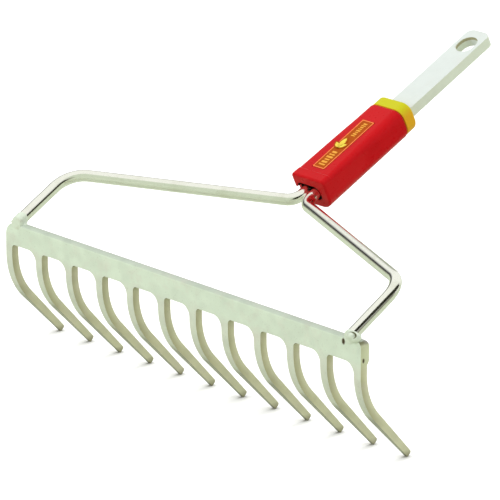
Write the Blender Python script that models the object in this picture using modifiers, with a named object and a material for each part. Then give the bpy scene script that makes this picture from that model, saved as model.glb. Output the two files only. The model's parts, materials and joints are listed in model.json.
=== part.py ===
"""Head of a bow rake for a change-over handle.

A stamped comb with twelve curved tines hangs from a bow of two bent steel rods. The rods run
together into a plastic sleeve, where they are welded to a flat steel tang that a handle takes.

Frame: X along the comb, Y from the comb towards the handle, Z up, metres. The origin is on the
floor the tine tips stand on, under the middle of the whole head. All dimensions below are given
from the comb instead, with y = 0 at its front face; main() moves the finished head to its frame.
"""

import math

import bmesh
import bpy
from mathutils import Matrix, Vector

MM = 0.001
CLEARANCE = 0.3 * MM
COMB_TO_MIDDLE = 123.15 * MM

# comb
TINE_COUNT = 12
TINE_PITCH = 26.5 * MM
TINE_WIDTH = 5.4 * MM
TINE_TIP_WIDTH = 2.4 * MM
TINE_THICKNESS = 4.8 * MM
TINE_TIP_THICKNESS = 3.8 * MM
TINE_BEND_TOP = 57 * MM
TINE_BEND_RADIUS = 40 * MM
TINE_SLOPE = math.radians(43.4)
TINE_BEND_END = TINE_BEND_TOP - TINE_BEND_RADIUS * math.sin(TINE_SLOPE)
TIP_CORNER = 1.4 * MM
BAR_TOP = 77 * MM
BAR_BOTTOM = 63.6 * MM
BAR_THICKNESS = 6.3 * MM
LEFT_BAR_CORNER = 8.0 * MM
RIGHT_BAR_CORNER = 4.0 * MM
BAR_EDGE = 1.2 * MM
NEAR_GAP_CORNER = 2.5 * MM
FAR_GAP_CORNER = 7 * MM
COMB_HALF = (TINE_COUNT - 1) / 2 * TINE_PITCH + TINE_WIDTH / 2
EDGE_BREAK = 0.35 * MM

# bow
ROD_RADIUS = 3.5 * MM
ROD_HALF_SPACING = 3.7 * MM
ROD_FOOT = Vector((139.0, 1.6, 78.0)) * MM
ROD_CORNER = Vector((138.4, 41.0, 99.4)) * MM
CORNER_RADIUS = 18.7 * MM
NECK_RADIUS = 9.5 * MM
BEAD_SIZE = Vector((6.6, 3.7, 3.3)) * MM
BEAD_CENTRE = Vector((138.4, 1.9, 77.9)) * MM

# handle end: its axis rises from the mouth of the sleeve to the end of the tang
AXIS_MIDDLE = Vector((0, 137.5, 120.7)) * MM
AXIS_SLOPE = math.radians(25.3)
SLEEVE_FRONT = 34.5 * MM
SLEEVE_REAR = 35.8 * MM
NECK_POINT = -44.8 * MM
MOUTH_HALF = Vector((8.8, 5.5)) * MM
MOUTH_CORNER = 4.6 * MM
MOUTH_DEPTH = 12 * MM
ROD_END = -9.0 * MM
COLLAR_LENGTH = 8.2 * MM
COLLAR_ROUND = 1.9 * MM
TANG_WIDTH = 17.2 * MM
TANG_THICKNESS = 6.5 * MM
TANG_END = 120.8 * MM
TANG_CORNER = 4.5 * MM
TANG_EDGE = 0.6 * MM
WELD_HALF = Vector((10.3, 3.0, 5.3)) * MM
WELD_CORNER = 3.0 * MM
SLOT_LENGTH = 14.2 * MM
SLOT_WIDTH = 12.2 * MM
SLOT_CENTRE = TANG_END - 13 * MM

# label inlay, let into the flat on the sleeve's top
FLAT_HEIGHT = 9.9 * MM
LABEL_HALF = Vector((4.7, 22.7)) * MM
LABEL_CENTRE = -1.4 * MM
LABEL_THICKNESS = 0.5 * MM
LABEL_POCKET = LABEL_THICKNESS + CLEARANCE

# sections of the sleeve along its axis: place, half width, height of the top above the axis,
# radius of the two top corners, depth of the bottom below the axis
SLEEVE_SECTIONS = (
    (-34.5, 12.5, 9.3, 2.6, 9.8),
    (-34.1, 13.1, 9.9, 2.7, 10.4),
    (-33.2, 13.5, 10.3, 2.8, 10.8),
    (-28.3, 13.5, 10.3, 3.0, 10.8),
    (-27.7, 13.4, 9.9, 3.0, 10.8),
    (-16.0, 13.4, 9.9, 3.7, 10.8),
    (-4.0, 13.4, 9.9, 4.2, 10.8),
    (8.0, 13.4, 9.9, 4.9, 10.8),
    (20.0, 13.4, 9.9, 5.8, 10.8),
    (34.7, 13.3, 9.9, 6.3, 10.8),
    (35.5, 13.0, 9.6, 6.1, 10.5),
    (35.8, 12.5, 9.1, 5.7, 10.0),
)
BOTTOM_CORNER = 8.8 * MM
CORNER_STEPS = 6


def clear_scene():
    for item in list(bpy.data.objects):
        bpy.data.objects.remove(item, do_unlink=True)


def collection(name, hidden=False):
    group = bpy.data.collections.new(name)
    bpy.context.scene.collection.children.link(group)
    group.hide_render = hidden
    return group


def material(name, colour, roughness, metallic):
    shader = bpy.data.materials.new(name)
    shader.use_nodes = True
    node = shader.node_tree.nodes["Principled BSDF"]
    node.inputs["Base Color"].default_value = (*colour, 1)
    node.inputs["Roughness"].default_value = roughness
    node.inputs["Metallic"].default_value = metallic
    return shader


def arc(centre, radius, start, end, steps=CORNER_STEPS):
    """Points of a flat arc between two angles in degrees, both ends included."""
    turns = [math.radians(start + (end - start) * step / steps) for step in range(steps + 1)]
    return [(centre[0] + radius * math.cos(t), centre[1] + radius * math.sin(t)) for t in turns]


def rounded_box(half_width, low, high, low_corner, high_corner):
    """A flat outline with round corners, anticlockwise from the lower left."""
    right, left = half_width, -half_width
    return (
        arc((left + low_corner, low + low_corner), low_corner, 180, 270)
        + arc((right - low_corner, low + low_corner), low_corner, 270, 360)
        + arc((right - high_corner, high - high_corner), high_corner, 0, 90)
        + arc((left + high_corner, high - high_corner), high_corner, 90, 180)
    )


def as_mesh(item, name, group):
    """The evaluated shape of an object as a mesh object in the same place."""
    bpy.context.view_layer.update()
    source = item.evaluated_get(bpy.context.evaluated_depsgraph_get())
    mesh = bpy.data.meshes.new_from_object(source)
    place = item.matrix_world.copy()
    bpy.data.objects.remove(item, do_unlink=True)
    work = bmesh.new()
    work.from_mesh(mesh)
    bmesh.ops.remove_doubles(work, verts=work.verts, dist=0.00001)
    work.to_mesh(mesh)
    work.free()
    mesh.name = name
    result = bpy.data.objects.new(name, mesh)
    result.matrix_world = place
    group.objects.link(result)
    return result


def plate(name, group, outlines, thickness, place):
    """Flat outlines filled and extruded half the thickness to both sides of their plane."""
    curve = bpy.data.curves.new(name, "CURVE")
    curve.dimensions = "2D"
    curve.fill_mode = "BOTH"
    curve.extrude = thickness / 2
    for outline in outlines:
        spline = curve.splines.new("POLY")
        spline.points.add(len(outline) - 1)
        for point, (across, along) in zip(spline.points, outline):
            point.co = (across, along, 0, 1)
        spline.use_cyclic_u = True
    item = bpy.data.objects.new(name, curve)
    item.matrix_world = place
    group.objects.link(item)
    return as_mesh(item, name, group)


def tube(name, group, points, radius):
    """A round bar along a path, with flat ends."""
    curve = bpy.data.curves.new(name, "CURVE")
    curve.dimensions = "3D"
    curve.bevel_depth = radius
    curve.bevel_resolution = 6
    curve.use_fill_caps = True
    spline = curve.splines.new("POLY")
    spline.points.add(len(points) - 1)
    for point, place in zip(spline.points, points):
        point.co = (*place, 1)
    item = bpy.data.objects.new(name, curve)
    group.objects.link(item)
    return as_mesh(item, name, group)


def box(name, group, centre, size):
    mesh = bpy.data.meshes.new(name)
    work = bmesh.new()
    bmesh.ops.create_cube(work, size=1, matrix=Matrix.Translation(centre) @ Matrix.Diagonal((*size, 1)))
    work.to_mesh(mesh)
    work.free()
    item = bpy.data.objects.new(name, mesh)
    group.objects.link(item)
    return item


def loft(name, group, rings, place):
    """A solid through rings of equally many points, with flat ends."""
    mesh = bpy.data.meshes.new(name)
    work = bmesh.new()
    rows = [[work.verts.new(point) for point in ring] for ring in rings]
    for near, far in zip(rows, rows[1:]):
        for index in range(len(near)):
            after = (index + 1) % len(near)
            work.faces.new((near[index], near[after], far[after], far[index]))
    work.faces.new(rows[0])
    work.faces.new(rows[-1])
    bmesh.ops.recalc_face_normals(work, faces=work.faces)
    work.to_mesh(mesh)
    work.free()
    item = bpy.data.objects.new(name, mesh)
    item.matrix_world = place
    group.objects.link(item)
    return item


def boolean(item, operation, *others):
    """Apply a solid operation with each of the other objects, which become hidden cutters."""
    for other in others:
        step = item.modifiers.new(operation.lower(), "BOOLEAN")
        step.operation = operation
        step.solver = "EXACT"
        step.object = other
        other.hide_render = True
        other.display_type = "WIRE"


def break_edges(item, width, segments=1, angle=50):
    step = item.modifiers.new("edges", "BEVEL")
    step.width = width
    step.segments = segments
    step.limit_method = "ANGLE"
    step.angle_limit = math.radians(angle)


def finish(item, shader):
    """Give the object its material and smooth shading that stops at its sharp edges."""
    item.data.materials.clear()
    item.data.materials.append(shader)
    item.data.shade_smooth()
    item.data.set_sharp_from_angle(angle=math.radians(35))
    return item


def on_axis(across=0.0, along=0.0, up=0.0):
    """A point given by its place across, along and above the handle axis."""
    turn = Matrix.Rotation(AXIS_SLOPE, 3, "X")
    return AXIS_MIDDLE + turn @ Vector((across, along, up))


def axis_place():
    """Local X across, Y along the handle axis, Z above it."""
    return Matrix.Translation(AXIS_MIDDLE) @ Matrix.Rotation(AXIS_SLOPE, 4, "X")


def section_place(along=0.0):
    """A flat outline's own X across and Y above the handle axis, its normal along the axis."""
    return axis_place() @ Matrix.Translation((0, along, 0)) @ Matrix.Rotation(math.radians(90), 4, "X")


def rounded_path(points, radii, steps=10):
    """A path through points whose inner corners are replaced by arcs of the given radii."""
    path = [points[0]]
    for before, corner, after, radius in zip(points, points[1:], points[2:], radii):
        inward = (before - corner).normalized()
        outward = (after - corner).normalized()
        half = inward.angle(outward) / 2
        centre = corner + (inward + outward).normalized() * radius / math.sin(half)
        start = corner + inward * radius / math.tan(half) - centre
        turn = inward.cross(outward)
        for step in range(steps + 1):
            angle = -(math.pi - 2 * half) * step / steps
            path.append(centre + Matrix.Rotation(-angle, 3, -turn) @ start)
    path.append(points[-1])
    return path


def tine_centre(index):
    return (index - (TINE_COUNT - 1) / 2) * TINE_PITCH


def comb_front():
    """The comb seen from the front: bar with round ends, tines that taper below their bend."""
    below = -10 * MM
    taper = (TINE_WIDTH - TINE_TIP_WIDTH) / 2 * (TINE_BEND_END - below) / TINE_BEND_END
    outline = []
    for index in range(TINE_COUNT):
        left = tine_centre(index) - TINE_WIDTH / 2
        right = left + TINE_WIDTH
        outline += [(left, TINE_BEND_END), (left + taper, below)]
        outline += [(right - taper, below), (right, TINE_BEND_END)]
        if index < TINE_COUNT - 1:
            following = right + TINE_PITCH - TINE_WIDTH
            near, far = NEAR_GAP_CORNER, FAR_GAP_CORNER
            outline += arc((right + near, BAR_BOTTOM - near), near, 180, 90)
            outline += arc((following - far, BAR_BOTTOM - far), far, 90, 0)
    # between its round ends the outline stands above the bar, whose side outline sets the top
    left, right = LEFT_BAR_CORNER - COMB_HALF, COMB_HALF - RIGHT_BAR_CORNER
    outline += arc((right, BAR_TOP - RIGHT_BAR_CORNER), RIGHT_BAR_CORNER, 0, 90, 8)
    outline += [(right, BAR_TOP - below), (left, BAR_TOP - below)]
    outline += arc((left, BAR_TOP - LEFT_BAR_CORNER), LEFT_BAR_CORNER, 90, 180, 8)
    return outline


def comb_side():
    """The comb seen from the side: upright bar, tines that bend back to a blunt tip."""
    tip_rise = TINE_TIP_THICKNESS / 2 * math.sin(TINE_SLOPE)
    straight = (TINE_BEND_END - tip_rise) / math.cos(TINE_SLOPE)
    bend = TINE_BEND_RADIUS * TINE_SLOPE
    stations = [bend * step / 8 for step in range(9)] + [bend + straight]
    front, rear = [], []
    for run in stations:
        angle = min(run / TINE_BEND_RADIUS, TINE_SLOPE)
        extra = max(run - bend, 0)
        y = TINE_THICKNESS / 2 + TINE_BEND_RADIUS * (1 - math.cos(angle)) + extra * math.sin(angle)
        z = TINE_BEND_TOP - TINE_BEND_RADIUS * math.sin(angle) - extra * math.cos(angle)
        half = (TINE_THICKNESS + (TINE_TIP_THICKNESS - TINE_THICKNESS) * extra / straight) / 2
        front.append((y - half * math.cos(angle), z - half * math.sin(angle)))
        rear.append((y + half * math.cos(angle), z + half * math.sin(angle)))
    end_y, end_z = rear.pop()
    centre = (
        end_y - TIP_CORNER * (math.cos(TINE_SLOPE) + math.sin(TINE_SLOPE)),
        end_z - TIP_CORNER * (math.sin(TINE_SLOPE) - math.cos(TINE_SLOPE)),
    )
    tip = arc(centre, TIP_CORNER, -45, 45, 4)
    swell = BAR_THICKNESS - 0.5 * MM
    top = (
        [(TINE_THICKNESS, BAR_BOTTOM - MM), (swell, BAR_BOTTOM + 0.4 * MM)]
        + [(BAR_THICKNESS, BAR_BOTTOM + 2 * MM)]
        + arc((BAR_THICKNESS - 2 * BAR_EDGE, BAR_TOP - 2 * BAR_EDGE), 2 * BAR_EDGE, 0, 90, 4)
        + arc((BAR_EDGE, BAR_TOP - BAR_EDGE), BAR_EDGE, 90, 180, 3)
    )
    return front + tip + rear[::-1] + top


def make_comb(parts, cutters, shader):
    upright = Matrix.Rotation(math.radians(90), 4, "X")
    front = plate("tine_comb", parts, [comb_front()], 200 * MM, upright)
    # the side outline's own X runs along world Y and its own Y along world Z
    sideways = Matrix(((0, 0, 1, 0), (1, 0, 0, 0), (0, 1, 0, 0), (0, 0, 0, 1)))
    side = plate("comb_side", cutters, [comb_side()], 2.2 * COMB_HALF, sideways)
    boolean(front, "INTERSECT", side)
    comb = as_mesh(front, "tine_comb", parts)
    break_edges(comb, EDGE_BREAK)
    return finish(comb, shader)


def bow_path(side, start):
    """Centre line of one rod from a start near the bar to its end inside the sleeve."""
    turn = Vector((side, 1, 1))
    return rounded_path(
        [
            start * turn,
            ROD_CORNER * turn,
            on_axis(side * ROD_HALF_SPACING, NECK_POINT),
            on_axis(side * ROD_HALF_SPACING, ROD_END),
        ],
        [CORNER_RADIUS, NECK_RADIUS],
    )


def bar_block(name, cutters, margin):
    """The bar's own block, larger by a margin, to keep its neighbours clear of it."""
    centre = Vector((0, BAR_THICKNESS / 2, BAR_TOP - 10 * MM))
    size = Vector((2 * COMB_HALF + 2 * margin, BAR_THICKNESS + 2 * margin, 20 * MM + 2 * margin))
    return box(name, cutters, centre, size)


def make_rod(side, word, parts, cutters, shader):
    rod = tube(word + "_bow_rod", parts, bow_path(side, ROD_FOOT), ROD_RADIUS)
    boolean(rod, "DIFFERENCE", bar_block(word + "_foot_cut", cutters, CLEARANCE))
    return finish(rod, shader)


def make_bead(side, word, parts, cutters, shader):
    """Weld metal in front of and beside a rod's foot, over the top edge of the bar."""
    centre = BEAD_CENTRE * Vector((side, 1, 1))
    mesh = bpy.data.meshes.new(word + "_weld_bead")
    work = bmesh.new()
    ball = Matrix.Translation(centre) @ Matrix.Diagonal((*BEAD_SIZE, 1))
    bmesh.ops.create_uvsphere(work, u_segments=20, v_segments=12, radius=1, matrix=ball)
    work.to_mesh(mesh)
    work.free()
    bead = bpy.data.objects.new(word + "_weld_bead", mesh)
    parts.objects.link(bead)
    ahead = (ROD_FOOT - ROD_CORNER).normalized() * CLEARANCE
    path = bow_path(side, ROD_FOOT + ahead)[:3]
    around_rod = tube(word + "_rod_space", cutters, path, ROD_RADIUS + CLEARANCE)
    boolean(bead, "DIFFERENCE", bar_block(word + "_bead_cut", cutters, CLEARANCE), around_rod)
    return finish(bead, shader)


def neck_bores(cutters):
    """Room for the rods' ends and for the tang inside the sleeve, each with its clearance."""
    space = ROD_RADIUS + CLEARANCE
    outline = rounded_box(ROD_HALF_SPACING + space, -space, space, 0.98 * space, 0.98 * space)
    reach = SLEEVE_FRONT + ROD_END + CLEARANCE
    rods = plate("rod_bore", cutters, [outline], 2 * reach, section_place(-SLEEVE_FRONT))
    size = Vector((TANG_WIDTH, SLEEVE_REAR - ROD_END + 2 * MM, TANG_THICKNESS))
    size += 2 * Vector((CLEARANCE, 0, CLEARANCE))
    tang = box("tang_bore", cutters, Vector((0, ROD_END + size.y / 2, 0)), size)
    tang.matrix_world = axis_place()
    return rods, tang


def weld_form(name, group, margin=0.0):
    """A swelling block around the place where the rods meet the tang, larger by a margin."""
    rings = []
    for share in (-1, -0.5, 0, 0.5, 1):
        width = WELD_HALF.x + margin - 0.9 * MM * share**2
        height = WELD_HALF.z + margin - 1.2 * MM * share**2
        corner = WELD_CORNER - 2 * MM * share**2
        place = ROD_END + share * (WELD_HALF.y + margin)
        outline = rounded_box(width, -height, height, corner, corner)
        rings.append([(across, place, up) for across, up in outline])
    return loft(name, group, rings, axis_place())


def make_neck_weld(bores, parts, shader):
    """Weld metal all round the joint of the rods and the tang, hidden in the sleeve."""
    weld = weld_form("neck_weld", parts)
    boolean(weld, "DIFFERENCE", *bores)
    return finish(weld, shader)


def sleeve_rings(sections):
    rings = []
    for along, width, top, corner, bottom in sections:
        outline = rounded_box(width * MM, -bottom * MM, top * MM, BOTTOM_CORNER, corner * MM)
        rings.append([(across, along * MM, up) for across, up in outline])
    return rings


def make_sleeve(bores, parts, cutters, shader):
    sleeve = loft("sleeve", parts, sleeve_rings(SLEEVE_SECTIONS), axis_place())
    wide, high = MOUTH_HALF
    mouth_outline = rounded_box(wide, -high, high, MOUTH_CORNER, MOUTH_CORNER)
    mouth = plate("mouth", cutters, [mouth_outline], 2 * MOUTH_DEPTH, section_place(-SLEEVE_FRONT))
    weld_room = weld_form("weld_room", cutters, CLEARANCE)
    pocket_size = 2 * Vector((LABEL_HALF.x + CLEARANCE, LABEL_HALF.y + CLEARANCE, LABEL_POCKET))
    pocket = box("label_pocket", cutters, Vector((0, LABEL_CENTRE, FLAT_HEIGHT)), pocket_size)
    pocket.matrix_world = axis_place()
    boolean(sleeve, "DIFFERENCE", mouth, *bores, weld_room, pocket)
    return finish(sleeve, shader)


def make_collar(parts, cutters, shader):
    start = (SLEEVE_REAR + CLEARANCE) / MM
    end = start + COLLAR_LENGTH / MM
    curve = COLLAR_ROUND / MM
    sections = [(start, 12.9, 9.2, 5.9, 10.1), (start + 0.5, 13.3, 9.6, 6.2, 10.5)]
    for step in range(5):
        angle = math.radians(90 * step / 4)
        inset = curve * (1 - math.cos(angle))
        along = end - curve * (1 - math.sin(angle))
        sections.append((along, 13.3 - inset, 9.6 - inset, 6.2 - inset, 10.5 - inset))
    collar = loft("collar", parts, sleeve_rings(sections), axis_place())
    room = Vector((TANG_WIDTH, 0, TANG_THICKNESS)) + Vector((2, 0, 2)) * CLEARANCE
    room.y = 4 * COLLAR_LENGTH
    hole = box("collar_bore", cutters, Vector((0, SLEEVE_REAR + COLLAR_LENGTH / 2, 0)), room)
    hole.matrix_world = axis_place()
    boolean(collar, "DIFFERENCE", hole)
    return finish(collar, shader)


def make_tang(parts, shader):
    half = TANG_WIDTH / 2
    base = ROD_END + CLEARANCE
    outline = (
        [(-half, base), (half, base)]
        + arc((half - TANG_CORNER, TANG_END - TANG_CORNER), TANG_CORNER, 0, 90, 8)
        + arc((TANG_CORNER - half, TANG_END - TANG_CORNER), TANG_CORNER, 90, 180, 8)
    )
    radius = SLOT_WIDTH / 2
    reach = (SLOT_LENGTH - SLOT_WIDTH) / 2
    slot = arc((0, SLOT_CENTRE + reach), radius, 0, 180, 14)
    slot += arc((0, SLOT_CENTRE - reach), radius, 180, 360, 14)
    tang = plate("tang", parts, [outline, slot], TANG_THICKNESS, axis_place())
    break_edges(tang, TANG_EDGE, segments=2)
    return finish(tang, shader)


def make_label(parts, shader):
    wide, long = LABEL_HALF
    outline = [(across, along + LABEL_CENTRE) for across, along in rounded_box(wide, -long, long, MM, MM)]
    height = FLAT_HEIGHT - LABEL_THICKNESS / 2 + 0.05 * MM
    place = axis_place() @ Matrix.Translation((0, 0, height))
    label = plate("label_inlay", parts, [outline], LABEL_THICKNESS, place)
    return finish(label, shader)


def main():
    clear_scene()
    parts = collection("bow_rake_head")
    cutters = collection("cutters", hidden=True)
    galvanised = material("galvanised_steel", (0.62, 0.68, 0.56), 0.42, 0.8)
    plated = material("bright_plated_steel", (0.80, 0.80, 0.74), 0.15, 1.0)
    tang_steel = material("zinc_plated_tang", (0.78, 0.81, 0.77), 0.32, 0.8)
    red = material("red_plastic", (0.56, 0.012, 0.02), 0.33, 0.0)
    yellow = material("yellow_plastic", (0.72, 0.58, 0.02), 0.35, 0.0)
    ink = material("label_print", (0.42, 0.13, 0.02), 0.4, 0.0)

    make_comb(parts, cutters, galvanised)
    for side, word in ((-1, "left"), (1, "right")):
        make_rod(side, word, parts, cutters, plated)
        make_bead(side, word, parts, cutters, plated)
    make_tang(parts, tang_steel)
    bores = neck_bores(cutters)
    make_neck_weld(bores, parts, plated)
    make_sleeve(bores, parts, cutters, red)
    make_collar(parts, cutters, yellow)
    make_label(parts, ink)

    to_frame = Matrix.Translation((0, -COMB_TO_MIDDLE, 0))
    for item in bpy.data.objects:
        item.matrix_world = to_frame @ item.matrix_world


main()
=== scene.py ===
"""Looks of the bow rake head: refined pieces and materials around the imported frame.

Places are given as in the part's design: from the comb's front face (y = 0) for the comb and the
bow, and across, along and above the handle's axis for the sleeve, the tang and the label.
"""

import json
import math

import bmesh
import bpy
from mathutils import Matrix, Vector


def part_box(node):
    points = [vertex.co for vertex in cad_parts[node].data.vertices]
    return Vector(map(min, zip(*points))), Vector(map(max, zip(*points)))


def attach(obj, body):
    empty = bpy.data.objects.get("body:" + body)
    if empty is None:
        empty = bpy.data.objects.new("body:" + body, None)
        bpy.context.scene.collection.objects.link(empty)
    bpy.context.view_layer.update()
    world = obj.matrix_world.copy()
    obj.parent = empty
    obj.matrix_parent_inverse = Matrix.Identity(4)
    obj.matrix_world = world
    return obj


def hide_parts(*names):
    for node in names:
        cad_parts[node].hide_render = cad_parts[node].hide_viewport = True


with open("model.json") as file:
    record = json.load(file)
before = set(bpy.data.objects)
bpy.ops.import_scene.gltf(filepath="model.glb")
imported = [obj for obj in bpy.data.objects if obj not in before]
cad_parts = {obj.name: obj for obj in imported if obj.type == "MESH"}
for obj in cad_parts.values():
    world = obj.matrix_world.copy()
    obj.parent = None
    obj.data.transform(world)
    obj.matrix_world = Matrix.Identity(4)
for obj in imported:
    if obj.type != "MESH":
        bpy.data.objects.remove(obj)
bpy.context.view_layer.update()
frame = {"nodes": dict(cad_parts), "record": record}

MM = 0.001

# comb
TINE_COUNT = 12
TINE_PITCH = 26.5 * MM
TINE_WIDTH = 5.4 * MM
TINE_TIP_WIDTH = 2.4 * MM
TINE_THICKNESS = 4.8 * MM
TINE_TIP_THICKNESS = 3.8 * MM
TINE_BEND_TOP = 57 * MM
TINE_BEND_RADIUS = 40 * MM
TINE_SLOPE = math.radians(43.4)
TINE_BEND_END = TINE_BEND_TOP - TINE_BEND_RADIUS * math.sin(TINE_SLOPE)
TIP_CORNER = 1.4 * MM
BAR_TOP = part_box("tine_comb")[1].z
BAR_BOTTOM = 63.6 * MM
BAR_THICKNESS = 6.3 * MM
LEFT_BAR_CORNER = 8.0 * MM
RIGHT_BAR_CORNER = 4.0 * MM
BAR_EDGE = 1.2 * MM
NEAR_GAP_CORNER = 2.5 * MM
FAR_GAP_CORNER = 7 * MM
COMB_HALF = (TINE_COUNT - 1) / 2 * TINE_PITCH + TINE_WIDTH / 2
COMB_EDGE = 0.5 * MM
# the bar is thicker than the tines: steps in its rear face above its lower edge
SWELL_LEDGE = 0.5 * MM
SWELL_RISE = 0.4 * MM
SWELL_END = 2 * MM
# how far the front outline runs past the side one, and how deep it is extruded
OVERRUN = 10 * MM
COMB_DEPTH = 200 * MM
TO_COMB = Matrix.Translation((0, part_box("tine_comb")[0].y, 0))
# small pits in the zinc: place, half size
PITS = (
    (Vector((134.8, 0, 74.2)) * MM, Vector((1.0, 1.2, 1.5)) * MM),
    (Vector((COMB_HALF / MM, 2.0, 65.8)) * MM, Vector((0.8, 0.7, 1.1)) * MM),
)

# bow
ROD_RADIUS = 3.5 * MM
ROD_HALF_SPACING = 3.7 * MM
ROD_FOOT = Vector((139.0, 1.6, 78.0)) * MM
ROD_CORNER = Vector((138.4, 41.0, 99.4)) * MM
CORNER_RADIUS = 18.7 * MM
NECK_RADIUS = 9.5 * MM
NECK_POINT = -44.8 * MM
ROD_END = -9.0 * MM
BAR_BLOCK = 20 * MM
BAR_CLEARANCE = 0.05 * MM
# weld metal of each side, in millimetres: place of its foot outwards from the rod's, half length,
# number of steps up the rod, rise of the flare
WELD_SPREAD = {-1: (1.2, 6.8, 9, 3.4), 1: (0.6, 5.8, 2, 1.6)}
# smoothing of each side: the right one keeps its crater
WELD_SMOOTHING = {-1: 20, 1: 4}
# the cone round the rod: first place and step along it, excess radius and its loss at each step
CONE_START = -1.2 * MM
CONE_STEP = 1.1 * MM
CONE_EXCESS = 0.55 * MM
CONE_LOSS = 0.09 * MM
# the flare, from its foot on the bar's top to its end on the rod, in millimetres
FLARE_STEPS = 5
FLARE_DEPTH = (3.2, 4.4)
FLARE_FOOT = 76.6
FLARE_END_WIDTH = 3.9
FLARE_TAPER = 0.7
FLARE_HALF_DEPTH = (3.0, 3.5)
FLARE_HALF_HEIGHT = 1.3
FLARE_SWELL = 0.62
# share of its bulge that the metal keeps in front of the bar
PRESSED = 0.12
WELD_VOXEL = 0.28 * MM
BEAD_CENTRE = Vector((142.3, 0.3, 78.6)) * MM
BEAD_HALF = Vector((5.2, 3.0, 3.2)) * MM
CRATER_CENTRE = Vector((143.1, -1.9, 80.6)) * MM
CRATER_HALF = Vector((2.9, 1.7, 1.8)) * MM
DROP_CENTRE = Vector((142.1, -1.6, 79.4)) * MM
DROP_HALF = Vector((2.7, 1.7, 1.9)) * MM

# handle end
TANG_END = 120.8 * MM
TANG_WIDTH = 17.2 * MM
TANG_THICKNESS = 6.5 * MM
TANG_CORNER = 4.5 * MM
TANG_EDGE = 0.6 * MM
SLOT_LENGTH = 14.2 * MM
SLOT_WIDTH = 12.2 * MM
SLOT_CENTRE = TANG_END - 13 * MM
# painted shade on the wall of the slot, just under its upper rim
SLOT_SHADE_HALF = Vector((1.5, 1.5, 0.7)) * MM
SLOT_SHADE_LEVEL = 2.1 * MM
SLEEVE_FRONT = 34.5 * MM
SLEEVE_REAR = 35.8 * MM
SLEEVE_WIDTH = 13.5 * MM
SLEEVE_TOP = 9.9 * MM
SLEEVE_BOTTOM = 10.8 * MM
BOTTOM_CORNER = 8.8 * MM
END_ROUND = 1.3 * MM
LIP_RISE = 0.4 * MM
LIP_END = -28.0 * MM
LIP_STEP = 0.9 * MM
# places along the axis in millimetres, and the radius of the sleeve's two top corners there
TOP_CORNERS = (
    (-34.5, 2.6),
    (-28.0, 3.0),
    (-16.0, 3.7),
    (-4.0, 4.2),
    (8.0, 4.9),
    (20.0, 5.8),
    (35.8, 6.3),
)
PLASTIC_EDGE = 0.25 * MM
# edges of the sleeve's mouth in millimetres: left, right, bottom, top
MOUTH = (-11.4, 7.6, -5.5, 4.4)
MOUTH_CORNER = 4.3 * MM
MOUTH_DEPTH = 20 * MM
# relief in the sleeve's left wall where the left rod leaves the mouth
NOTCH_DEPTH = 2.8 * MM
NOTCH_LOW = -5.4 * MM
NOTCH_HIGH = 0.8 * MM
NOTCH_CORNER = 1.2 * MM
# a corner radius just short of half the height leaves no two points in one place
NEARLY_ROUND = 0.98
LINING = 0.4 * MM
LINING_START = 0.7 * MM
LINING_GAP = 0.02 * MM
LINING_END_GAP = 0.1 * MM
BORE_GAP = 0.3 * MM
WELD_ROOM = Vector((21.2, 7.0, 11.2)) * MM
COLLAR_LENGTH = 8.2 * MM
COLLAR_ROUND = 1.9 * MM
COLLAR_WIDTH = 13.3 * MM
COLLAR_STEP = 0.3 * MM
COLLAR_FRONT_EDGE = 0.5 * MM

# label
LABEL_HALF = Vector((4.7, 22.7)) * MM
LABEL_CENTRE = -1.4 * MM
LABEL_THICKNESS = 0.5 * MM
LABEL_BORDER = 0.7 * MM
LABEL_RISE = 0.05 * MM
LABEL_CORNER = 0.6 * MM
FRAME_CORNER = 0.4 * MM
PRINT_THICKNESS = 0.12 * MM
# two rows of strokes: first place along the label, count, pitch, half height
STROKES = (
    (-19.4 * MM, 6, 2.3 * MM, 2.4 * MM),
    (8.4 * MM, 8, 1.6 * MM, 1.6 * MM),
)
LEAF_BASE = Vector((-1.2, -3.6)) * MM
LEAF_MARGIN = 0.9 * MM
# a sprig of three leaves: name, half length, half width, lean in degrees
LEAVES = (
    ("left_leaf", 2.7 * MM, 1.25 * MM, 52),
    ("right_leaf", 2.7 * MM, 1.25 * MM, -42),
    ("middle_leaf", 4.3 * MM, 1.7 * MM, 4),
)

# heights where the zinc's marks and painted shade fade; depths behind the front face for the last one
DARKENING_START = (20 * MM, 32 * MM)
DARKENING_FADE = (55 * MM, 66 * MM)
DULL_TINE = (BAR_BOTTOM - 4 * MM, BAR_BOTTOM + 2 * MM)
SHADED_TIP = (0.3 * MM, 4.5 * MM)
SHADED_REAR_TOP = (3.2 * MM, 4.6 * MM)
# tones of the zinc's stains and of its painted shade
REAR_TONE = (0.36, 0.36, 0.32)
FRONT_EDGE_TONE = (0.40, 0.42, 0.22)
TINE_TINT = (0.97, 0.915, 0.925)
UNDERSIDE_SHADE_TONE = (0.17, 0.16, 0.08)
TIP_SHADE_TONE = (0.14, 0.12, 0.05)
RUST = (0.10, 0.055, 0.02)
SLOT_WALL_SHADE_TONE = (0.40, 0.37, 0.22)
CRATER_SHADE_TONE = (0.10, 0.10, 0.035)
BLUSH = (0.62, 0.58, 0.5)
SPECK = (0.3, 0.31, 0.25)

# stage
CAMERA_PLACE = (1.865015, -1.828722, 0.928203)
CAMERA_TURN = (71.7387, 0, 46.6145)
CAMERA_LENS = 339.28
WHITE = (1, 1, 1, 1)
PALE = (0.93, 0.94, 0.91)
DAYLIGHT = (0.90, 0.91, 0.90, 1)
GREEN = (0.62, 0.69, 0.56)
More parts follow.
